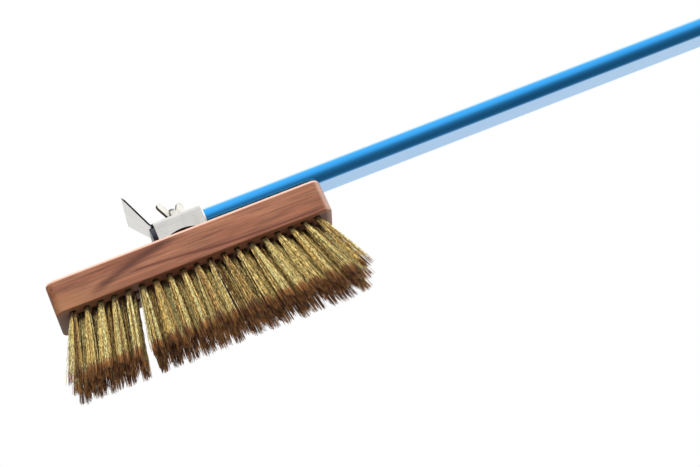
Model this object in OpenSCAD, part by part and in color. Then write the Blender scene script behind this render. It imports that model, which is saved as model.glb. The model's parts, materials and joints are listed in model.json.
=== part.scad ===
// Long-handled brass-wire brush. The wooden head swivels under an oval handle
// tube on one clamped stud, and a folded steel bracket over the joint carries
// a scraper blade. +Z is up and +X runs along the handle to the hang hole.
// The origin is on the plane of the wire tips, straight under the stud.

/* [Head block] */
// Length of the wooden block
block_len = 270; // [262:2:320]
// Width of the wooden block
block_w = 58; // [54:1:64]
// Height of the wooden block
block_h = 33.5; // [32:0.5:40]
// Radius of the block's four corners, seen from above
block_corner_r = 9; // [6:0.5:12]
// Rounding of the block's upper edge
block_top_r = 3; // [1.5:0.5:4]
// Rounding of the block's lower edge
block_low_r = 1.2; // [0.6:0.2:1.6]

/* [Wire tufts] */
// Free length of the wires below the block
wire_len = 66; // [45:0.5:70]
// Rows of tufts across the block
row_count = 5; // [5]
// Distance between rows at the block
row_pitch = 10; // [9.5:0.05:10.5]
// Tufts in the outer rows; every second row holds one less
tuft_count = 19; // [15:2:19]
// Distance between tufts along a row at the block
tuft_pitch = 13.3; // [12.5:0.05:13.5]
// Radius of a tuft where it leaves the block
tuft_root_r = 3; // [2.4:0.1:3]
// Radius of a tuft at its tips
tuft_tip_r = 6; // [4:0.1:6]
// How far the tips spread along the block, as a part of the root position
fan_x = 0.178; // [0.12:0.002:0.2]
// How far the tips spread across the block, as a part of the root position
fan_y = 0.39; // [0.3:0.01:0.4]
// Depth of a tuft hole
hole_depth = 13.5; // [12:0.5:14]

/* [Swivel joint] */
// Nominal thread diameter of the stud
stud_d = 6; // [6]
// Length of the steel insert that holds the stud in the block
insert_len = 14; // [10:1:14]
// Outer radius of the insert
insert_r = 5; // [4.5:0.1:6]
// Radius of the rubber friction disc
disc_r = 17; // [12:0.5:17]
// Thickness of the friction disc
disc_t = 1.3; // [1:0.1:2.5]
// Angle of the wing nut at rest
nut_angle = 37; // [0:1:180]
// Height of the wing nut's hub
nut_h = 8; // [6:0.5:9]
// Radius of the hub at its base
nut_base_r = 6.4; // [5.8:0.1:6.8]
// Thickness of the wings
wing_t = 2.8; // [2:0.1:3.5]
// Free thread above the nut
thread_spare = 3.2; // [3:0.1:6]

/* [Scraper bracket] */
// Thickness of the bracket's steel sheet
sheet_t = 1.5; // [1:0.1:2]
// End of the bracket on the blade side, measured from the stud
bracket_front = 22.5; // [20:0.5:26]
// End of the bracket on the handle side, measured from the stud
bracket_back = 24; // [20:0.5:30]
// Radius of the arch cut into the foot of each wall
arch_r = 33.5; // [30:0.5:40]
// Height of the arch above the block
arch_rise = 4.7; // [4:0.1:8]
// Length of the blade above its bend
blade_len = 32.5; // [20:0.5:45]
// Lean of the blade from upright
blade_lean = 28; // [10:0.5:45]
// Half width of the blade at its root
blade_root_w = 16; // [12:0.5:17]
// Half width of the blade at its edge
blade_edge_w = 31.5; // [18:0.5:34]

/* [Handle] */
// Width of the oval tube
tube_w = 39.6; // [34:0.2:42]
// Thickness of the oval tube
tube_t = 18; // [14:0.2:20]
// Wall of the tube
tube_wall = 1.5; // [1:0.1:2]
// Length of the tube
tube_len = 921; // [500:1:1400]
// Wall of the rubber wrap and the plastic liner between tube and bracket
liner_t = 0.6; // [0.6:0.1:1.2]
// Length of liner that shows past the bracket
liner_show = 1.5; // [1:0.5:8]
// Length of the front plug's nose past the bracket
plug_nose = 4.5; // [0:0.5:8]
// Radius of the hang hole in the end cap
hang_r = 5; // [4:0.5:6]
// Thickness of the end cap's tongue
tongue_t = 10; // [8:0.5:12]
// Radius of the tongue's round end
tongue_r = 12; // [10:0.5:14]

/* [Hidden] */
$fn = 64;
eps = 0.01;
slip = 0.05;        // radial running gap
bolt_gap = 0.3;     // radial gap of a clearance hole
foot_gap = 0.4;     // bracket walls above the block
cut = 1;            // overshoot of a cutting solid

// heights of the stack, from the wire tips upward
face_z = wire_len;
back_z = face_z + block_h;
tube_z = back_z + disc_t + liner_t + tube_t / 2;
web_low = tube_z + tube_t / 2 + liner_t + slip;
web_top = web_low + sheet_t;
flat_washer_t = 1.4;
flat_washer_r = 6.2;
spring_washer_t = 1.5;
spring_washer_r = 5.5;
washer_split = 0.8;
spring_z = web_top + flat_washer_t;
nut_z = spring_z + spring_washer_t;
stud_top = nut_z + nut_h + thread_spare;

// tufts
root_depth = 12;
hole_gap = 0.1;
anchor = [5, 1.1, 1.1];

// stud thread
stud_r = stud_d / 2;
thread_pitch = 1;
thread_depth = 0.55;
thread_len = 16;

// wing nut
wing_tip_r = 3.8;
wing_reach = 11.4;
wing_rise = 14.6;
wing_root_x = 3.5;

// bracket
bend_r = 5;
arch_x = (bracket_back - bracket_front) / 2;
blade_bend_r = 1.5;
bend_steps = 16;     // straight pieces in the blade's bend
blade_neck = 0.5;
blade_bevel = 3;
blade_edge_t = 0.5;
liner_side = tube_w / 2 + liner_t;
bracket_w = 2 * (liner_side + slip + sheet_t);

// handle ends
tube_start = -21;
tube_end = tube_start + tube_len;
liner_start = 14;
wrap_gap = 0.2;
plug_gap = 0.1;
front_plug_len = 12;
front_flange = bracket_front + tube_start + plug_nose;
cap_plug_len = 30;
cap_flange = 5;
cap_lip = 0.5;
tongue_len = 14;
hang_x = tube_end + cap_flange + tongue_len;
rivet_x = tube_end - 14;
rivet_r = 2;
rivet_head_r = 6;
rivet_head_h = 1.4;
sleeve_r = 4.6;

function row_y(i) = (i - (row_count - 1) / 2) * row_pitch;
function row_tufts(i) = tuft_count - i % 2;
function tuft_x(i, k) = (k - (row_tufts(i) - 1) / 2) * tuft_pitch;
function tuft_tilt(x, y) = atan(norm([fan_x * x, fan_y * y]) / wire_len);
// a leaning tuft keeps its wire length unless its lower corner would pass the tip plane
function tuft_len(tilt) = min(wire_len, (wire_len - tuft_tip_r * sin(tilt)) / cos(tilt));

// places its children at a tuft hole's mouth, with -Z along the wires
module at_tuft(i, k) {
    x = tuft_x(i, k);
    y = row_y(i);
    translate([x, y, face_z])
        rotate([0, -tuft_tilt(x, y), atan2(fan_y * y, fan_x * x)])
            children();
}

module at_every_tuft() {
    for (i = [0 : row_count - 1], k = [0 : row_tufts(i) - 1]) at_tuft(i, k) children();
}

// extrudes a (Y, Z) section along X
module along_x(from, to) {
    translate([from, 0, 0]) rotate([90, 0, 90]) linear_extrude(to - from) children();
}

module obround(w, t) {
    square([w - t, t], center = true);
    for (side = [-1, 1]) translate([side * (w - t) / 2, 0]) circle(d = t);
}

// flat-oval bar or tube filling along X, centred on the handle
module oval_bar(w, t, from, to) {
    along_x(from, to) translate([0, tube_z]) obround(w, t);
}

module stud_hole(from, to, r) {
    translate([0, 0, from - cut]) cylinder(h = to - from + 2 * cut, r = r);
}

// upright section of the block, w wide, with rounded upper and lower edges
module block_section(w) {
    translate([-w / 2, block_low_r]) square([w, block_h - block_low_r - block_top_r]);
    translate([-w / 2 + block_top_r, block_h / 2]) square([w - 2 * block_top_r, block_h / 2]);
    translate([-w / 2 + block_low_r, 0]) square([w - 2 * block_low_r, block_h / 2]);
    for (side = [-1, 1]) {
        translate([side * (w / 2 - block_top_r), block_h - block_top_r]) circle(block_top_r);
        translate([side * (w / 2 - block_low_r), block_low_r]) circle(block_low_r);
    }
}

module block_body() {
    core_x = block_len / 2 - block_corner_r;
    core_y = block_w / 2 - block_corner_r;
    along_x(-core_x, core_x) block_section(block_w);
    rotate([0, 0, 90]) along_x(-core_y, core_y) block_section(block_len);
    for (sx = [-1, 1], sy = [-1, 1]) translate([sx * core_x, sy * core_y, 0])
        rotate_extrude() intersection() {
            block_section(2 * block_corner_r);
            square([2 * block_corner_r, block_h]);
        }
}

module block() {
    color("rosybrown") difference() {
        translate([0, 0, face_z]) block_body();
        at_every_tuft() translate([0, 0, -2]) cylinder(h = hole_depth + 2, r = tuft_root_r + hole_gap);
        translate([0, 0, back_z - insert_len]) cylinder(h = insert_len + cut, r = insert_r + slip);
    }
}

module tuft(len) {
    translate([0, 0, -len]) cylinder(h = len, r1 = tuft_tip_r, r2 = tuft_root_r);
    translate([0, 0, -eps]) cylinder(h = root_depth + eps, r = tuft_root_r);
}

module bristle_row(i) {
    color("goldenrod") for (k = [0 : row_tufts(i) - 1])
        at_tuft(i, k) tuft(tuft_len(tuft_tilt(tuft_x(i, k), row_y(i))));
}

// flat wire staples that pin each folded bundle to the bottom of its hole
module tuft_anchors() {
    color("silver") at_every_tuft()
        translate([-anchor[0] / 2, -anchor[1] / 2, root_depth + slip]) cube(anchor);
}

module stud_insert() {
    color("lightgray") difference() {
        translate([0, 0, back_z - insert_len + slip]) cylinder(h = insert_len - slip, r = insert_r);
        stud_hole(back_z - insert_len, back_z, stud_r + slip);
    }
}

// plain shank with the thread's crests and roots turned as rings at the top
module swivel_stud() {
    low = back_z - insert_len + 1;
    first = stud_top - thread_len;
    crests = [for (z = [first : thread_pitch : stud_top - thread_pitch + eps])
        each [[stud_r, z], [stud_r, z + 0.15], [stud_r - thread_depth, z + thread_pitch / 2],
              [stud_r, z + thread_pitch - 0.15]]];
    color("silver") rotate_extrude()
        polygon(concat([[0, low], [stud_r - 0.5, low], [stud_r, low + 0.5]], crests,
            [[stud_r - 0.6, stud_top], [0, stud_top]]));
}

module friction_disc() {
    color("dimgray") difference() {
        translate([0, 0, back_z + slip]) cylinder(h = disc_t - slip, r = disc_r);
        stud_hole(back_z, back_z + disc_t, stud_r + bolt_gap);
    }
}

// channel section with rounded upper bends, standing on z = 0
module channel_outline(w, h, r) {
    translate([-w / 2, 0]) square([w, h - r]);
    translate([-w / 2 + r, 0]) square([w - 2 * r, h]);
    for (side = [-1, 1]) translate([side * (w / 2 - r), h - r]) circle(r);
}

module bracket_channel() {
    foot_z = back_z + foot_gap;
    h = web_top - foot_z;
    difference() {
        along_x(-bracket_front, bracket_back) translate([0, foot_z]) difference() {
            channel_outline(bracket_w, h, bend_r);
            translate([0, -cut])
                channel_outline(bracket_w - 2 * sheet_t, h - sheet_t + cut, bend_r - sheet_t);
        }
        translate([arch_x, 0, back_z + arch_rise - arch_r]) rotate([90, 0, 0])
            cylinder(h = bracket_w + 2 * cut, r = arch_r, center = true, $fn = 128);
    }
}

function turn(p, a) = [p.x * cos(a) - p.y * sin(a), p.x * sin(a) + p.y * cos(a)];
function arc(r, from, to) =
    [for (i = [0 : bend_steps]) let (a = from + (to - from) * i / bend_steps) r * [cos(a), sin(a)]];

// side view (X, Z) of the blade sheet: short neck, upward bend and sharpened strip
module blade_profile() {
    bend = 90 - blade_lean;
    outer = blade_bend_r + sheet_t;
    neck = 2 * blade_neck + cut;
    strip = [[-blade_len, -outer], [-blade_len, -outer + blade_edge_t],
             [-blade_len + blade_bevel, -blade_bend_r]];
    polygon(concat([[neck, -blade_bend_r], [neck, -outer]], arc(outer, -90, -90 - bend),
        [for (p = strip) turn(p, -bend)], arc(blade_bend_r, -90 - bend, -90)));
}

module blade() {
    bend_z = web_top + blade_bend_r;
    tip_z = bend_z + blade_len * cos(blade_lean);
    intersection() {
        translate([-bracket_front - blade_neck, 0, bend_z]) rotate([90, 0, 0])
            linear_extrude(2 * blade_edge_w + 2 * cut, center = true) blade_profile();
        along_x(-bracket_front - blade_len, -bracket_front + cut)
            polygon([[-blade_root_w, web_low - cut], [blade_root_w, web_low - cut],
                     [blade_root_w, bend_z], [blade_edge_w, tip_z],
                     [-blade_edge_w, tip_z], [-blade_root_w, bend_z]]);
    }
}

module scraper_bracket() {
    color("gainsboro") difference() {
        union() {
            bracket_channel();
            blade();
        }
        stud_hole(web_low, web_top, stud_r + bolt_gap);
    }
}

module flat_washer() {
    color("silver") difference() {
        translate([0, 0, web_top]) cylinder(h = flat_washer_t, r = flat_washer_r);
        stud_hole(web_top, spring_z, stud_r + bolt_gap);
    }
}

module spring_washer() {
    color("silver") difference() {
        translate([0, 0, spring_z]) cylinder(h = spring_washer_t, r = spring_washer_r);
        stud_hole(spring_z, nut_z, stud_r + 2 * slip);
        rotate([0, 0, 20]) translate([0, -washer_split / 2, spring_z - cut])
            cube([spring_washer_r + cut, washer_split, spring_washer_t + 2 * cut]);
    }
}

// one wing in the (X, Z) plane: a rounded ear on a tapered root
module wing() {
    lean = atan2(wing_rise - nut_h / 2, wing_reach - wing_root_x);
    side = wing_tip_r * [sin(lean), -cos(lean)];
    tip = [wing_reach, wing_rise];
    rotate([90, 0, 0]) linear_extrude(wing_t, center = true) {
        translate(tip) circle(wing_tip_r);
        polygon([[wing_root_x, 1], [nut_base_r, 1], tip + side, tip - side, [wing_root_x, nut_h - 0.5]]);
    }
}

module wing_nut() {
    color("gainsboro") translate([0, 0, nut_z]) rotate([0, 0, nut_angle]) difference() {
        union() {
            cylinder(h = nut_h, r1 = nut_base_r, r2 = nut_base_r - 1.4);
            for (turn = [0, 180]) rotate([0, 0, turn]) wing();
        }
        stud_hole(0, nut_h, stud_r + slip);
    }
}

module handle_tube() {
    color("dodgerblue") difference() {
        oval_bar(tube_w, tube_t, tube_start, tube_end);
        oval_bar(tube_w - 2 * tube_wall, tube_t - 2 * tube_wall, tube_start - cut, tube_end + cut);
        stud_hole(tube_z - tube_t / 2, tube_z + tube_t / 2, stud_r + bolt_gap);
        translate([rivet_x, 0, 0])
            stud_hole(tube_z - tube_t / 2, tube_z + tube_t / 2, rivet_r + slip);
    }
}

// flat-oval sleeve round the tube, filling its space in the bracket
module tube_cover(from, to) {
    difference() {
        oval_bar(tube_w + 2 * liner_t, tube_t + 2 * liner_t, from, to);
        oval_bar(tube_w + 2 * slip, tube_t + 2 * slip, from - cut, to + cut);
    }
}

module rubber_wrap() {
    color("dimgray") difference() {
        tube_cover(tube_start, liner_start - wrap_gap);
        stud_hole(tube_z - tube_t / 2 - liner_t, web_low, stud_r + bolt_gap);
    }
}

module tube_liner() {
    color("whitesmoke") tube_cover(liner_start, bracket_back + liner_show);
}

// spacer that keeps the clamped stud from crushing the tube
module crush_sleeve() {
    inner = tube_t - 2 * tube_wall - 2 * slip;
    color("silver") translate([0, 0, tube_z - inner / 2]) difference() {
        cylinder(h = inner, r = sleeve_r);
        stud_hole(0, inner, stud_r + slip);
    }
}

module tube_plug(from, to) {
    oval_bar(tube_w - 2 * tube_wall - 2 * plug_gap, tube_t - 2 * tube_wall - 2 * plug_gap, from, to);
}

module front_plug() {
    color("black") {
        oval_bar(tube_w, tube_t, tube_start - front_flange, tube_start);
        tube_plug(tube_start - eps, tube_start + front_plug_len);
    }
}

module end_cap() {
    color("black") difference() {
        union() {
            tube_plug(tube_end - cap_plug_len, tube_end + eps);
            oval_bar(tube_w + 2 * cap_lip, tube_t + 2 * cap_lip, tube_end, tube_end + cap_flange);
            translate([tube_end + cap_flange - eps, 0, tube_z - tongue_t / 2]) linear_extrude(tongue_t) {
                translate([0, -tongue_r]) square([tongue_len + eps, 2 * tongue_r]);
                translate([tongue_len + eps, 0]) circle(tongue_r);
            }
        }
        translate([hang_x, 0, 0])
            stud_hole(tube_z - tongue_t / 2, tube_z + tongue_t / 2, hang_r);
        translate([rivet_x, 0, 0])
            stud_hole(tube_z - tube_t / 2, tube_z + tube_t / 2, rivet_r + slip);
    }
}

module rivet_head() {
    intersection() {
        translate([0, 0, rivet_head_h - rivet_head_r]) sphere(rivet_head_r);
        translate([-rivet_head_r, -rivet_head_r, 0])
            cube([2 * rivet_head_r, 2 * rivet_head_r, rivet_head_h + cut]);
    }
}

module cap_rivet() {
    color("silver") translate([rivet_x, 0, tube_z]) {
        cylinder(h = tube_t + 2 * eps, r = rivet_r, center = true);
        for (flip = [0, 180]) rotate([flip, 0, 0]) translate([0, 0, tube_t / 2]) rivet_head();
    }
}

block();
bristle_row(0);  // bristle_row_1
bristle_row(1);  // bristle_row_2
bristle_row(2);  // bristle_row_3
bristle_row(3);  // bristle_row_4
bristle_row(4);  // bristle_row_5
tuft_anchors();
stud_insert();
swivel_stud();
friction_disc();
scraper_bracket();
flat_washer();
spring_washer();
wing_nut();
handle_tube();
rubber_wrap();
tube_liner();
crush_sleeve();
front_plug();
end_cap();
cap_rivet();
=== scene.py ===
import json
import math

import bpy
import numpy as np
from mathutils import Matrix, Vector


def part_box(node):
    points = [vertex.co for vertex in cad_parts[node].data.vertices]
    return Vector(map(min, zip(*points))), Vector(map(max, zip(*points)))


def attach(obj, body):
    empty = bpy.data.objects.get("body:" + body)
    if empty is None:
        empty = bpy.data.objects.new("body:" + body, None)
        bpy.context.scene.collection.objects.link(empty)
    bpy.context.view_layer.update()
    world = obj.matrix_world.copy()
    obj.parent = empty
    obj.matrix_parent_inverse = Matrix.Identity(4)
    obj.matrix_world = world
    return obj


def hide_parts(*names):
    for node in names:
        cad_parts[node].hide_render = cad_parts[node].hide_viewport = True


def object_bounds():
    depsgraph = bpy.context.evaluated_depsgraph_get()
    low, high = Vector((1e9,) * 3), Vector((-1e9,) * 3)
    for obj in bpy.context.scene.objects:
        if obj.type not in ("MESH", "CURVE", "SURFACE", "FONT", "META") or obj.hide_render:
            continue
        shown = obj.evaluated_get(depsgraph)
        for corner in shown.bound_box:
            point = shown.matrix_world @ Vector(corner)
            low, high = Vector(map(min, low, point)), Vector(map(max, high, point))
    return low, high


# Long-handled brass-wire brush: the tufts are drawn wire by wire, everything else keeps its CAD
# shape and gets its material. Lengths are metres in the CAD frame.

MM = 0.001
ROWS = ["bristle_row_%d" % i for i in range(1, 6)]
WIRE_SLOT = "brass_wire"

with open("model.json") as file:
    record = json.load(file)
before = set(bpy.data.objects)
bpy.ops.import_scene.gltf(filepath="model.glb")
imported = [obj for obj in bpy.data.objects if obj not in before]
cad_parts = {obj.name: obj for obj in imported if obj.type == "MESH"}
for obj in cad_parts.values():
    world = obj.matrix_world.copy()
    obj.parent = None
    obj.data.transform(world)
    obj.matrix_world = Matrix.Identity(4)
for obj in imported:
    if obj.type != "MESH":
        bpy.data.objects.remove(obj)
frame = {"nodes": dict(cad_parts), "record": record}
cad_low, cad_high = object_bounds()
nodes = frame["nodes"]


# ---------------------------------------------------------------- node helpers

def add(tree, kind, inputs=None, **settings):
    """A shader node with its settings and its inputs, which are values or other nodes' outputs."""
    node = tree.nodes.new(kind)
    for key, value in settings.items():
        setattr(node, key, value)
    for key, value in (inputs or {}).items():
        if isinstance(value, bpy.types.NodeSocket):
            tree.links.new(value, node.inputs[key])
        else:
            node.inputs[key].default_value = value
    return node


def ramp(tree, value, stops):
    """A colour ramp; a stop is (position, grey level or RGB)."""
    node = add(tree, "ShaderNodeValToRGB", {"Fac": value})
    elements = node.color_ramp.elements
    while len(elements) < len(stops):
        elements.new(0.5)
    for element, (place, colour) in zip(elements, stops):
        element.position = place
        rgb = (colour,) * 3 if isinstance(colour, (int, float)) else colour
        element.color = (*rgb, 1)
    return node.outputs["Color"]


def math_node(tree, operation, a, b=0.0):
    """The result of one arithmetic step on one or two values."""
    return add(tree, "ShaderNodeMath", {0: a, 1: b}, operation=operation).outputs[0]


def product(tree, *factors):
    """The product of two or more values."""
    result = factors[0]
    for factor in factors[1:]:
        result = math_node(tree, "MULTIPLY", result, factor)
    return result


def fade(tree, value, start, end, low=0.0, high=1.0, smooth=False):
    """low at start and before it, high from end on; eased at both ends if smooth."""
    return add(tree, "ShaderNodeMapRange",
               {"Value": value, "From Min": start, "From Max": end, "To Min": low, "To Max": high},
               interpolation_type="SMOOTHSTEP" if smooth else "LINEAR").outputs[0]


def grey(tree, value):
    """A value as a colour."""
    return add(tree, "ShaderNodeCombineColor", {0: value, 1: value, 2: value}).outputs[0]


def mix(tree, factor, a, b, blend="MIX"):
    """Colour a with b laid over it by the factor, by the given blend."""
    node = add(tree, "ShaderNodeMix", data_type="RGBA", blend_type=blend)
    for socket, value in ((0, factor), (6, a), (7, b)):
        if isinstance(value, bpy.types.NodeSocket):
            tree.links.new(value, node.inputs[socket])
        else:
            node.inputs[socket].default_value = value if socket == 0 else (*value, 1)
    return node.outputs[2]


def noise(tree, place, scale, detail=3.0, rough=0.5, warp=0.0):
    """Noise of the CAD-frame position, with its own scale (features per metre) along each axis."""
    moved = add(tree, "ShaderNodeMapping", {"Vector": place, "Scale": scale}).outputs[0]
    return add(tree, "ShaderNodeTexNoise", {"Vector": moved, "Scale": 1.0, "Detail": detail,
               "Roughness": rough, "Distortion": warp}).outputs["Fac"]


def material(name):
    """A bare material: (material, tree, principled node, CAD-frame position)."""
    made = bpy.data.materials.new(name)
    made.use_nodes = True
    tree = made.node_tree
    tree.nodes.clear()
    shader = add(tree, "ShaderNodeBsdfPrincipled")
    add(tree, "ShaderNodeOutputMaterial", {"Surface": shader.outputs[0]})
    place = add(tree, "ShaderNodeTexCoord").outputs["Object"]
    return made, tree, shader, place


def plug(tree, shader, **inputs):
    """Sets or links the shader's inputs; a name's underscores stand for spaces."""
    for key, value in inputs.items():
        socket = shader.inputs[key.replace("_", " ")]
        if isinstance(value, bpy.types.NodeSocket):
            tree.links.new(value, socket)
        else:
            socket.default_value = (*value, 1) if isinstance(value, tuple) and len(value) == 3 else value


def bump(tree, height, strength, distance, edge=0.0):
    """Normal from a height; edge is the radius of softened corners."""
    inputs = {"Height": height, "Strength": strength, "Distance": distance}
    if edge:
        inputs["Normal"] = add(tree, "ShaderNodeBevel", {"Radius": edge}, samples=4).outputs[0]
    return add(tree, "ShaderNodeBump", inputs).outputs[0]


def split(tree, place):
    """The X, Y and Z of a vector."""
    return add(tree, "ShaderNodeSeparateXYZ", {0: place}).outputs


def object_normal(tree):
    """The X, Y and Z of the surface's direction in the CAD frame."""
    return split(tree, add(tree, "ShaderNodeTexCoord").outputs["Normal"])


# ---------------------------------------------------------------- materials

def ridge(tree, x, z, points, width, face):
    """1 along a curve z(x) through the points, 0 at width from it, only where face is 1."""
    first, last = points[0][0], points[-1][0]
    bottom = min(height for along, height in points) - MM
    top = max(height for along, height in points) + MM
    curve = add(tree, "ShaderNodeFloatCurve", {"Value": fade(tree, x, first, last)})
    line = curve.mapping.curves[0]
    placed = [((along - first) / (last - first), (height - bottom) / (top - bottom))
              for along, height in points]
    line.points[0].location, line.points[1].location = placed[0], placed[-1]
    for spot in placed[1:-1]:
        line.points.new(*spot)
    curve.mapping.update()
    middle = fade(tree, curve.outputs[0], 0.0, 1.0, bottom, top)
    away = math_node(tree, "ABSOLUTE", math_node(tree, "SUBTRACT", z, middle))
    near = fade(tree, away, 0.0, width, 1.0, 0.0, smooth=True)
    start = fade(tree, x, first - 4 * MM, first + 12 * MM)
    end = fade(tree, x, last - 14 * MM, last + 4 * MM, 1.0, 0.0)
    return product(tree, near, product(tree, start, end), face)


# dark lines in the near face of the block: X, and height above its lower face
STREAK = [(-0.098, 0.0070), (-0.0848, 0.0109), (-0.0618, 0.0182), (-0.0304, 0.0264), (-0.010, 0.0305)]
GROWTH = [(-0.0631, 0.0130), (-0.0115, 0.0095), (0.0405, 0.0045), (0.0895, 0.0032), (0.132, 0.0026)]
STREAK_WIDTH, GROWTH_WIDTH = 7.0 * MM, 2.6 * MM


def beech():
    """Oiled wood: broad figure, fine grain and pores along X, two dark lines, and painted highlights that
    make the upper rim and the handle end paler.
    """
    made, tree, shader, place = material("beech")
    x, y, z = split(tree, place)
    low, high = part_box("block")
    face = fade(tree, y, low[1] + 2 * MM, low[1] + 14 * MM, 1.0, 0.0)
    broad = noise(tree, place, (9, 60, 75), 3, 0.5, 0.3)
    grain = noise(tree, place, (22, 420, 520), 5, 0.6, 0.2)
    pores = noise(tree, place, (300, 2400, 2600), 2, 0.5)
    colour = ramp(tree, broad, [(0.30, (0.160, 0.055, 0.028)), (0.52, (0.235, 0.088, 0.047)),
                                (0.72, (0.310, 0.132, 0.072))])
    fine = ramp(tree, grain, [(0.32, 0.48), (0.48, 0.95), (0.66, 1.32)])
    colour = mix(tree, 0.85, colour, fine, "MULTIPLY")
    flecks = ramp(tree, pores, [(0.27, 0.55), (0.38, 1.0)])
    colour = mix(tree, 0.75, colour, flecks, "MULTIPLY")
    # tan sapwood low at the scraper end
    left = fade(tree, x, low[0] + 5 * MM, low[0] + 80 * MM, 1.0, 0.0)
    under = fade(tree, z, low[2] + 8 * MM, low[2] + 22 * MM, 1.0, 0.0)
    colour = mix(tree, product(tree, left, under, 0.55), colour, (0.34, 0.165, 0.075))
    # the two dark lines on the near face
    streak, line = (ridge(tree, x, z, [(along, low[2] + height) for along, height in points], width, face)
                    for points, width in ((STREAK, STREAK_WIDTH), (GROWTH, GROWTH_WIDTH)))
    ragged = ramp(tree, grain, [(0.30, 1.0), (0.68, 0.66)])
    streak = mix(tree, 1.0, grey(tree, streak), ragged, "MULTIPLY")
    colour = mix(tree, streak, colour, (0.060, 0.016, 0.009))
    colour = mix(tree, product(tree, line, 0.85), colour, (0.095, 0.024, 0.014))
    # painted highlights: the upper rim and the handle end are painted paler, where light from above and
    # from the right catches them
    edge = fade(tree, z, high[2] - 3.6 * MM, high[2] - 2.2 * MM, smooth=True)
    rim = fade(tree, math_node(tree, "ABSOLUTE", y), high[1] - 7 * MM, high[1] - 3.5 * MM, smooth=True)
    colour = mix(tree, product(tree, edge, product(tree, rim, 0.74)), colour, (0.80, 0.50, 0.39))
    # painted highlight on the handle end
    lit_handle_end = fade(tree, x, high[0] - 7 * MM, high[0] - 2 * MM, smooth=True)
    colour = mix(tree, product(tree, lit_handle_end, 0.65), colour, (0.72, 0.48, 0.38))
    relief = math_node(tree, "ADD", grain, product(tree, pores, 0.6))
    plug(tree, shader, Base_Color=colour, Roughness=fade(tree, grain, 0.0, 1.0, 0.42, 0.66),
         Specular_IOR_Level=0.35, Coat_Weight=0.05, Coat_Roughness=0.35,
         Normal=bump(tree, relief, 0.35, 0.25 * MM))
    return made


def brass_wire():
    """Each wire has its own tone, partly painted shade and highlight; the brown tips are partly painted
    shade, and the dark roots are painted shade.
    """
    made, tree, shader, place = material("brass_wire")
    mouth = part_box("block")[0][2]
    tone = add(tree, "ShaderNodeAttribute", attribute_name="tone").outputs["Fac"]
    glint_speckle = noise(tree, place, (700, 700, 330), 2)
    crimp = noise(tree, place, (900, 900, 1600), 2)
    # the tone runs from near black to pale yellow: partly the wires' own colour, partly painted shade and
    # highlight among the wires
    colour = ramp(tree, tone, [(0.0, (0.070, 0.028, 0.020)), (0.22, (0.46, 0.250, 0.085)),
                               (0.46, (1.0, 0.69, 0.22)), (1.0, (1.0, 0.91, 0.43))])
    # painted glints: bright and dark specks multiplied into the colour where crimped wires catch the light
    glints = ramp(tree, glint_speckle, [(0.34, 0.26), (0.50, 0.92), (0.64, 1.45)])
    colour = mix(tree, 1.0, colour, glints, "MULTIPLY")
    # the brown tips and the painted shade at the roots end unevenly from wire to wire
    uneven = product(tree, math_node(tree, "SUBTRACT", tone, 0.5), 6 * MM)
    height = math_node(tree, "ADD", split(tree, place)[2], uneven)
    # brown tips: partly the wire ends' own brown tint, partly painted shade of the underside seen among
    # the tips
    tips = fade(tree, height, 6 * MM, 12 * MM, 1.0, 0.0, smooth=True)
    tip_tint_and_shade = ramp(tree, tone, [(0.25, (0.070, 0.024, 0.014)), (0.55, (0.260, 0.090, 0.032)),
                              (0.9, (0.66, 0.28, 0.085))])
    colour = mix(tree, product(tree, tips, 0.93), colour, tip_tint_and_shade)
    # painted shade: the wires darken near the block's lower face, where the block and the holes shade them
    root = fade(tree, height, mouth - 9 * MM, mouth - 2 * MM, 0.0, 0.80, smooth=True)
    colour = mix(tree, root, colour, (0.060, 0.036, 0.024))
    plug(tree, shader, Base_Color=colour, Roughness=fade(tree, glint_speckle, 0.0, 1.0, 0.24, 0.42),
         Metallic=fade(tree, tips, 0.0, 1.0, 0.50, 0.15), Normal=bump(tree, crimp, 0.2, 0.05 * MM))
    return made


def painted_crevice_shade(tree, colour, reach, depth):
    """Painted shade: darkens a metal's colour where other parts shelter it."""
    open_sky = add(tree, "ShaderNodeAmbientOcclusion", {"Distance": reach}, samples=6).outputs["AO"]
    return mix(tree, depth, colour, ramp(tree, open_sky, [(0.25, 0.10), (0.85, 1.0)]), "MULTIPLY")


def painted_edge_shade(tree, place, colour):
    """Painted shade: the cut edges of the blade are painted near black."""
    blade_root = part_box("front_plug")[0][0] + 5 * MM
    beyond = fade(tree, split(tree, place)[0], blade_root - 1 * MM, blade_root, 1.0, 0.0)
    sideways = fade(tree, math_node(tree, "ABSOLUTE", object_normal(tree)[1]), 0.6, 0.8)
    return mix(tree, product(tree, beyond, sideways), colour, (0.018, 0.018, 0.020))


def brushed(name, colour, scale, rough, streak, edge, cut_edges=False):
    """Sheet or turned metal: fine parallel lines, faint smears, small scuffs and softened corners.

    scale is the noise scale of the lines, rough the range of roughness, streak the strength of the
    lines, and edge the radius of the corners.
    """
    made, tree, shader, place = material(name)
    lines = noise(tree, place, scale, 4, 0.6)
    smear = noise(tree, place, (55, 55, 55), 4, 0.6, 0.8)
    scuff = noise(tree, place, (700, 240, 700), 2, 0.5, 1.5)
    tint = ramp(tree, smear, [(0.3, 0.80), (0.55, 1.0), (0.75, 1.08)])
    shade = mix(tree, 0.8, colour, tint, "MULTIPLY")
    shade = mix(tree, streak, shade, ramp(tree, lines, [(0.3, 0.72), (0.7, 1.12)]), "MULTIPLY")
    shade = mix(tree, 0.5, shade, ramp(tree, scuff, [(0.24, 0.6), (0.33, 1.0)]), "MULTIPLY")
    # painted shade where nearby parts shelter the metal
    shade = painted_crevice_shade(tree, shade, 5 * MM, 0.5)
    if cut_edges:
        # painted shade on the blade's cut edges
        shade = painted_edge_shade(tree, place, shade)
    plug(tree, shader, Base_Color=shade, Metallic=1.0, Roughness=fade(tree, smear, 0.3, 0.7, *rough),
         Normal=bump(tree, lines, 0.25, 0.08 * MM, edge))
    return made


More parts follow.
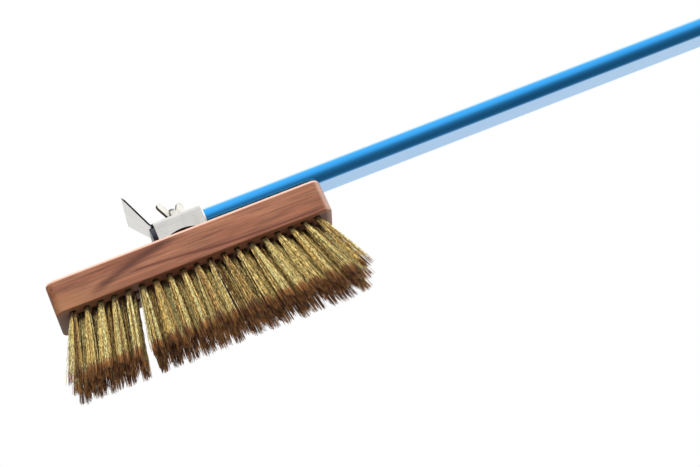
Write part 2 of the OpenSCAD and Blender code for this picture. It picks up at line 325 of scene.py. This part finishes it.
def nickel_plate():
    """Plated casting: bright, with the sand texture left under the plating."""
    made, tree, shader, place = material("nickel_plate")
    cast = noise(tree, place, (900, 900, 900), 3)
    cloud = noise(tree, place, (180, 180, 180), 3, 0.5, 0.4)
    colour = ramp(tree, cloud, [(0.3, (0.62, 0.59, 0.52)), (0.6, (0.80, 0.78, 0.72))])
    # painted shade where nearby parts shelter the casting
    colour = painted_crevice_shade(tree, colour, 14 * MM, 0.9)
    # painted reflection: the faces towards the scraper are painted dark, as if they mirrored dark
    # surroundings
    dark_reflection = fade(tree, object_normal(tree)[0], -0.62, -0.22, 0.93, 0.0, smooth=True)
    colour = mix(tree, dark_reflection, colour, (0.060, 0.044, 0.032))
    plug(tree, shader, Base_Color=colour, Metallic=1.0, Roughness=fade(tree, cloud, 0.0, 1.0, 0.08, 0.26),
         Normal=bump(tree, cast, 0.35, 0.12 * MM, 0.5 * MM))
    return made


def blue_anodised():
    """Drawn tube: hair lines along X under a dyed oxide layer, a few short handling marks."""
    made, tree, shader, place = material("blue_anodised")
    lines = noise(tree, place, (2.5, 1500, 1500), 4, 0.65)
    cloud = noise(tree, place, (7, 60, 60), 3, 0.5, 0.2)
    marks = noise(tree, place, (260, 1900, 1900), 2, 0.5, 2.0)
    colour = ramp(tree, cloud, [(0.3, (0.030, 0.33, 0.80)), (0.7, (0.045, 0.39, 0.90))])
    colour = mix(tree, 0.5, colour, ramp(tree, lines, [(0.3, 0.86), (0.7, 1.10)]), "MULTIPLY")
    scratched = product(tree, ramp(tree, marks, [(0.74, 0.0), (0.80, 1.0)]), 0.4)
    colour = mix(tree, scratched, colour, (0.35, 0.62, 0.85))
    # painted sheen: the colour pales where the tube is seen at a low angle, standing in for the whitish
    # reflection there
    grazing_sheen = add(tree, "ShaderNodeLayerWeight", {"Blend": 0.5}).outputs["Facing"]
    grazing_sheen = fade(tree, grazing_sheen, 0.36, 0.66, smooth=True)
    colour = mix(tree, product(tree, grazing_sheen, 0.95), colour, (0.44, 0.63, 0.84))
    plug(tree, shader, Base_Color=colour, Metallic=0.92, Roughness=fade(tree, lines, 0.3, 0.7, 0.14, 0.25),
         Coat_Weight=0.15, Coat_Roughness=0.12, Normal=bump(tree, lines, 0.12, 0.03 * MM))
    return made


def moulded(name, colour, rough, grain=1500, edge=0.4 * MM):
    """Moulded plastic or rubber: fine texture, uneven gloss and slightly dusty patches."""
    made, tree, shader, place = material(name)
    skin = noise(tree, place, (grain, grain, grain), 3)
    cloud = noise(tree, place, (90, 90, 90), 4, 0.6, 0.5)
    dusty = tuple(min(1.0, c * 1.25 + 0.012) for c in colour)
    shade = mix(tree, ramp(tree, cloud, [(0.45, 0.0), (0.75, 1.0)]), colour, dusty)
    plug(tree, shader, Base_Color=shade, Roughness=fade(tree, cloud, 0.3, 0.7, *rough),
         Normal=bump(tree, skin, 0.3, 0.06 * MM, edge))
    return made


materials = {
    "beech": beech(),
    "brass_wire": brass_wire(),
    "stainless": brushed("stainless", (0.72, 0.71, 0.68), (16, 900, 900), (0.22, 0.36), 0.45, 0.12 * MM,
                         cut_edges=True),
    "plated_steel": brushed("plated_steel", (0.66, 0.66, 0.64), (500, 500, 1400), (0.24, 0.40), 0.4,
                            0.2 * MM),
    "nickel_plate": nickel_plate(),
    "blue_anodised": blue_anodised(),
    "liner_plastic": moulded("liner_plastic", (0.76, 0.78, 0.80), (0.34, 0.50), edge=0.2 * MM),
    "black_plastic": moulded("black_plastic", (0.018, 0.022, 0.032), (0.30, 0.48)),
    "black_rubber": moulded("black_rubber", (0.020, 0.020, 0.022), (0.62, 0.80), 1100, 0.2 * MM),
    "rivet_aluminium": brushed("rivet_aluminium", (0.78, 0.78, 0.79), (900, 900, 300), (0.20, 0.36),
                               0.3, 0.2 * MM),
}

for part in frame["record"]["subparts"]:
    thing = nodes[part["node"]]
    thing.data.materials.clear()
    thing.data.materials.append(materials[part["material_slot"]])


# ---------------------------------------------------------------- wire tufts

WIRES = 92             # in a tuft
JOINTS = 12            # straight pieces in a wire
SIDES = 3              # of a wire
WIRE_R = 0.26 * MM
WIRE_END = 0.62        # how far a wire's last pieces thin
ROOT_R = 1.9 * MM      # of a tuft in its hole
TIP_R = 6.9 * MM       # of a tuft at its tips
BURIED = 3.0 * MM      # start of a wire inside its hole
CRIMP = 0.40 * MM      # height of a wire's waves
CRIMP_RANGE = 0.5, 1.25                 # its unevenness
TIP_CRIMP = 0.35       # how much of it is left at the tip
SWELL = 0.7 * MM       # outward bow of the outer wires
LOCKS = 7              # bundles that cling together at the tips
LOCK_SPOT = 0.35, 0.75 # range of their distance from the middle, as a share of the radius
CLING = 0.22, 0.52     # range of how far the wires are drawn to their lock
SCATTER = 0.10         # uneven spread of the wires, as a share of the radius
TUFT_SIZE = 0.82, 1.05 # range of a tuft's own spread
STRAY_OUT = 1.15, 1.5  # range of how much farther out a stray wire ends
STRANDS = 18           # groups round a tuft that shine alike
TONE, TONE_SPREAD = 0.53, 0.17          # from dark to bright, wire by wire
LOCK_SHINE, STRAND_SHINE, TUFT_SHINE = 0.14, 0.24, 0.05     # and group by group
STRAYS = 0.045         # share of wires that stand out of their tuft
LEAN = 0.9 * MM        # sideways error of a whole tuft
RAGGED = 2.2 * MM      # unevenness of the tips
SHORTEST = 9 * MM      # the most a wire may fall short
LOWEST = -2.4 * MM     # the longest wires
RISE = 4 * MM          # the tips rise round the handle end,
RISE_FROM, RISE_TO = 0.116, 0.152       # between these X
NEAR_SHIFT = 3.6 * MM  # the last column of tufts at the scraper end stands this far along +X
FAR_SHIFT = 1.8 * MM   # the same at the handle end
SEED = 60              # of the first row

# the gap between two columns of tufts is the plane
# x = PART_X + PART_Y * (y - PART_Y0) + PART_Z * (z - PART_Z0)
PART_X, PART_Y, PART_Z = -0.0590, 0.067, 0.2437
PART_Y0, PART_Z0 = -0.020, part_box("block")[1][2] - 0.0468
PART_PUSH = 4.6 * MM   # how far the tips beside the gap are pushed
PART_CURVE = 0.55      # how soon the push sets in below the block
PART_REACH = 9 * MM    # how quickly it fades along X
PART_CLEAR = 3.2 * MM  # half the open width at the tips

SAME_SPOT = 1e-6       # CAD corners closer than this are one
face_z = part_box("block")[0][2]


def tuft_axes(node):
    """(mouth, tip) of each CAD tuft of a row, sorted along X, read from the node's own mesh."""
    mesh = nodes[node].data
    co = np.zeros(len(mesh.vertices) * 3, np.float32)
    mesh.vertices.foreach_get("co", co)
    co = co.reshape(-1, 3).astype(float)
    keys, index = np.unique(np.round(co / SAME_SPOT).astype(np.int64), axis=0, return_inverse=True)
    index = index.reshape(-1)
    spots = keys * SAME_SPOT
    edges = np.zeros(len(mesh.edges) * 2, np.int32)
    mesh.edges.foreach_get("vertices", edges)
    a, b = index[edges.reshape(-1, 2)].T
    # corners joined by edges end up with one label
    label = np.arange(len(spots))
    while True:
        low = np.minimum(label[a], label[b])
        new = label.copy()
        np.minimum.at(new, a, low)
        np.minimum.at(new, b, low)
        new = new[new]
        if (new == label).all():
            break
        label = new
    found = []
    for name in np.unique(label):
        points = spots[label == name]
        axis = np.linalg.svd(points - points.mean(0), full_matrices=False)[2][0]
        axis *= np.sign(axis[2]) or 1.0
        along = points @ axis
        root = points[along > along.max() - 0.2 * MM].mean(0)
        tip = points[along < along.min() + 0.2 * MM].mean(0)
        share = (face_z - tip[2]) / (root[2] - tip[2])
        found.append((tip + share * (root - tip), tip))
    return sorted(found, key=lambda pair: pair[0][0])


def parting(points):
    """Opens the see-through gap between two columns of tufts, wider towards the tips."""
    depth = np.clip((face_z - points[..., 2]) / face_z, 0, 1)
    plane = PART_X + PART_Y * (points[..., 1] - PART_Y0) + PART_Z * (points[..., 2] - PART_Z0)
    away = points[..., 0] - plane
    side = np.where(away[:, -1:] >= 0, 1.0, -1.0)
    points[..., 0] += side * PART_PUSH * depth ** PART_CURVE * np.exp(-np.abs(away) / PART_REACH)
    # a wire that still stands in the gap is moved to its own side of it
    short = PART_CLEAR * depth - side * (points[..., 0] - plane)
    points[..., 0] += side * np.maximum(short, 0)
    return points


def round_points(angle):
    """Points on the unit circle."""
    return np.stack([np.cos(angle), np.sin(angle)], 1)


def gather(rng, disc):
    """Draws the wires of a tuft together into locks: (each wire's place at the tips, its lock)."""
    spokes = rng.uniform(0, 2 * np.pi) + np.arange(LOCKS) * 2 * np.pi / LOCKS
    locks = round_points(spokes) * rng.uniform(*LOCK_SPOT, (LOCKS, 1))
    nearest = ((disc[:, None] - locks[None]) ** 2).sum(2).argmin(1)
    cling = rng.uniform(*CLING)
    spread = disc * (1 - cling) + locks[nearest] * cling + rng.normal(0, SCATTER, (WIRES, 2))
    spread *= rng.uniform(*TUFT_SIZE)
    stray = rng.uniform(0, 1, WIRES) < STRAYS
    spread[stray] *= rng.uniform(*STRAY_OUT, (stray.sum(), 1))
    return spread, nearest


def tuft(rng, mouth, tip):
    """The wires of one tuft: (points along each wire, tone of each wire)."""
    length = np.linalg.norm(mouth - tip)
    down = (tip - mouth) / length
    side = np.cross(down, (0.0, 1.0, 0.0))
    side /= np.linalg.norm(side)
    basis = np.stack([side, np.cross(down, side)])
    angle = rng.uniform(0, 2 * np.pi, WIRES)
    disc = round_points(angle) * np.sqrt(rng.uniform(0, 1, WIRES))[:, None]
    spread, nearest = gather(rng, disc)
    lean = rng.normal(0, LEAN, 2)
    start = mouth - down * BURIED + (disc * ROOT_R) @ basis
    end = mouth + down * length + (spread * TIP_R + lean) @ basis
    shift = FAR_SHIFT if tip[0] > 0 else NEAR_SHIFT
    end[:, 0] += shift * min(abs(tip[0] / cad_low[0]), 1.0) ** 4
    # the tips are trimmed to one plane, unevenly
    rise = RISE * np.clip((end[:, 0] - RISE_FROM) / (RISE_TO - RISE_FROM), 0, 1.2) ** 2
    trim = rise + np.minimum(rng.exponential(RAGGED, WIRES), SHORTEST) + LOWEST
    end = start + (end - start) * ((trim - start[:, 2]) / (end[:, 2] - start[:, 2]))[:, None]
    t = np.linspace(0, 1, JOINTS + 1)[None, :, None]
    path = start[:, None] * (1 - t) + end[:, None] * t
    path += ((spread * SWELL) @ basis)[:, None] * np.sin(np.pi * t)
    wave = (round_points(rng.uniform(0, 2 * np.pi, WIRES)) * CRIMP) @ basis
    zigzag = np.where(np.arange(JOINTS + 1) % 2, 1.0, -1.0)[None, :, None]
    zigzag = zigzag * rng.uniform(*CRIMP_RANGE, (WIRES, JOINTS + 1, 1))
    zigzag[:, 0] = 0
    zigzag[:, -2:] *= TIP_CRIMP
    path += wave[:, None] * zigzag
    # the wires of a lock, and of a strand round the tuft, catch the light together
    strand = (angle / (2 * np.pi) * STRANDS).astype(int)
    shine = rng.normal(0, LOCK_SHINE, LOCKS)[nearest] + rng.normal(0, STRAND_SHINE, STRANDS)[strand]
    tone = np.clip(rng.normal(TONE, TONE_SPREAD, WIRES) + shine + rng.normal(0, TUFT_SHINE), 0, 1)
    return parting(path), tone


def prisms(name, path, tone, rng):
    """One mesh of thin capped prisms along the paths, with each wire's tone on its points."""
    count, rings = path.shape[:2]
    forward = np.gradient(path, axis=1)
    forward /= np.linalg.norm(forward, axis=2, keepdims=True)
    across = np.cross(forward, (0.0, 1.0, 0.0))
    across /= np.linalg.norm(across, axis=2, keepdims=True)
    over = np.cross(forward, across)
    corner = np.arange(SIDES)
    turns = rng.uniform(0, 2 * np.pi, (count, 1, 1, 1)) + corner[None, None, :, None] * 2 * np.pi / SIDES
    ring = np.cos(turns) * across[:, :, None] + np.sin(turns) * over[:, :, None]
    taper = np.interp(np.arange(rings), [0, rings - 3, rings - 1], [1.0, 1.0, WIRE_END])
    verts = path[:, :, None] + WIRE_R * taper[None, :, None, None] * ring
    base = (np.arange(count) * rings * SIDES)[:, None]
    first = base[:, :, None] + (np.arange(rings - 1) * SIDES)[None, :, None]
    here, after = corner[None, None, :], (corner[None, None, :] + 1) % SIDES
    quads = np.stack([first + here, first + after, first + after + SIDES, first + here + SIDES], -1)
    caps = np.concatenate([base + corner[::-1], base + (rings - 1) * SIDES + corner])
    loops = np.concatenate([quads.reshape(-1), caps.reshape(-1)]).astype(np.int32)
    quad_count, cap_count = quads.size // 4, len(caps)
    starts = np.concatenate([np.arange(quad_count) * 4, quad_count * 4 + np.arange(cap_count) * SIDES])
    mesh = bpy.data.meshes.new(name)
    mesh.vertices.add(verts.size // 3)
    mesh.vertices.foreach_set("co", verts.reshape(-1))
    mesh.loops.add(len(loops))
    mesh.loops.foreach_set("vertex_index", loops)
    mesh.polygons.add(quad_count + cap_count)
    mesh.polygons.foreach_set("loop_start", starts.astype(np.int32))
    mesh.update(calc_edges=True)
    layer = mesh.attributes.new("tone", "FLOAT", "POINT")
    layer.data.foreach_set("value", np.repeat(tone, rings * SIDES).astype(np.float32))
    return mesh


def wire_row(node, seed):
    """Stands for a row of CAD tufts, wire by wire."""
    rng = np.random.default_rng(seed)
    lines, tones = zip(*[tuft(rng, mouth, tip) for mouth, tip in tuft_axes(node)])
    path, tone = np.concatenate(lines), np.concatenate(tones)
    path[..., 2] = np.maximum(path[..., 2], LOWEST)
    name = "wires_" + node
    mesh = prisms(name, path, tone, rng)
    mesh.materials.append(materials[WIRE_SLOT])
    wires = bpy.data.objects.new(name, mesh)
    bpy.context.scene.collection.objects.link(wires)
    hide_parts(node)
    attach(wires, "head")


for number, row in enumerate(ROWS):
    wire_row(row, SEED + number)


# ---------------------------------------------------------------- light, floor, camera

STUDIO_STRENGTH = 1.25
# brightness by the angle round X: 0 is down, 0.25 the far side (+Y), 0.5 up, 0.75 the near side, 1 down
STUDIO_GLOW = [(0.0, 0.136), (0.06, 0.18), (0.114, 0.30), (0.16, 0.72), (0.19, 0.84), (0.25, 0.92),
               (0.5, 1.0), (0.60, 0.96), (0.705, 0.74), (0.797, 0.29), (0.89, 0.136), (1.0, 0.136)]
# name, place, what it points at, diameter, watts
LAMPS = [
    ("key", (-0.5, -1.7, 1.1), (0.0, 0.0, 0.06), 1.6, 37),
    ("fill", (1.5, -1.1, 0.2), (0.13, 0.0, 0.05), 1.0, 6),
    ("low", (0.0, -0.9, -1.2), (0.0, 0.0, 0.0), 1.2, 6),
    ("top", (0.3, 0.3, 1.6), (0.1, 0.0, 0.1), 1.4, 11),
]
FLOOR_HALF = 12.0      # half the floor's side
FLOOR_GAP = 0.2 * MM   # from the floor to the longest wires
VIEW_RIGHT, VIEW_FORWARD = (0.9200, 0.0091, -0.3919), (0.1551, 0.9097, 0.3852)
EYE_X, EYE_Y, EYE_OVER_BLOCK = -0.1443, -1.6953, -0.7702
SENSOR, LENS = 36.0, 102.86     # mm


def studio():
    """White to the camera; around the object, bright overhead and behind, dark in front and below."""
    world = bpy.data.worlds.new("studio")
    world.use_nodes = True
    tree = world.node_tree
    tree.nodes.clear()
    ray = add(tree, "ShaderNodeTexCoord").outputs["Generated"]
    x, y, z = split(tree, ray)
    round_x = math_node(tree, "ARCTAN2", math_node(tree, "MULTIPLY", y, -1.0), z)
    glow = ramp(tree, fade(tree, round_x, -math.pi, math.pi), STUDIO_GLOW)
    # a dark flag beyond the scraper end gives the plating its contrast
    flag = fade(tree, x, -0.78, -0.40, 0.10, 1.0, smooth=True)
    glow = mix(tree, 1.0, glow, grey(tree, flag), "MULTIPLY")
    lit = add(tree, "ShaderNodeBackground", {"Color": glow, "Strength": STUDIO_STRENGTH})
    white = add(tree, "ShaderNodeBackground", {"Color": (1, 1, 1, 1), "Strength": 1.0})
    seen = add(tree, "ShaderNodeLightPath").outputs["Is Camera Ray"]
    both = add(tree, "ShaderNodeMixShader", {0: seen, 1: lit.outputs[0], 2: white.outputs[0]})
    add(tree, "ShaderNodeOutputWorld", {"Surface": both.outputs[0]})
    bpy.context.scene.world = world


def soft_light(name, place, target, size, power):
    """A round lamp that is seen neither directly nor as a reflection."""
    lamp = bpy.data.lights.new(name, "AREA")
    lamp.shape, lamp.size, lamp.energy = "DISK", size, power
    lit = bpy.data.objects.new(name, lamp)
    bpy.context.scene.collection.objects.link(lit)
    lit.location = place
    lit.rotation_mode = "QUATERNION"
    lit.rotation_quaternion = (Vector(target) - Vector(place)).to_track_quat("-Z", "Y")
    lit.visible_glossy = lit.visible_camera = False


def pale_floor():
    """Seen only by the camera and only from above: from below it would hide the brush."""
    made, tree, shader, place = material("pale_floor")
    speck = noise(tree, place, (30, 30, 30), 4)
    colour = ramp(tree, speck, [(0.3, 0.80), (0.7, 0.84)])
    plug(tree, shader, Base_Color=colour, Roughness=0.9)
    clear = add(tree, "ShaderNodeBsdfTransparent").outputs[0]
    back = add(tree, "ShaderNodeNewGeometry").outputs["Backfacing"]
    both = add(tree, "ShaderNodeMixShader", {0: back, 1: shader.outputs[0], 2: clear})
    output = next(n for n in tree.nodes if n.type == "OUTPUT_MATERIAL")
    tree.links.new(both.outputs[0], output.inputs["Surface"])
    mesh = bpy.data.meshes.new("floor")
    depth = cad_low[2] + LOWEST - FLOOR_GAP
    corners = [(x * FLOOR_HALF, y * FLOOR_HALF, depth) for x, y in ((-1, -1), (1, -1), (1, 1), (-1, 1))]
    mesh.from_pydata(corners, [], [(0, 1, 2, 3)])
    mesh.materials.append(made)
    ground = bpy.data.objects.new("floor", mesh)
    bpy.context.scene.collection.objects.link(ground)
    ground.visible_diffuse = ground.visible_glossy = False
    ground.visible_transmission = ground.visible_shadow = False


def camera():
    """From below and in front, rolled so the handle climbs to the right."""
    forward = Vector(VIEW_FORWARD).normalized()
    up = Vector(VIEW_RIGHT).cross(forward).normalized()
    right = forward.cross(up)
    data = bpy.data.cameras.new("camera")
    data.sensor_width, data.lens = SENSOR, LENS
    data.clip_start, data.clip_end = 0.05, 60.0
    view = bpy.data.objects.new("camera", data)
    bpy.context.scene.collection.objects.link(view)
    turn = Matrix((right, up, -forward)).transposed().to_4x4()
    view.matrix_world = Matrix.Translation((EYE_X, EYE_Y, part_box("block")[1][2] + EYE_OVER_BLOCK)) @ turn
    bpy.context.scene.camera = view


studio()
for name, place, target, size, power in LAMPS:
    soft_light(name, place, target, size, power)
pale_floor()
camera()
bpy.context.scene.view_settings.view_transform = "Standard"
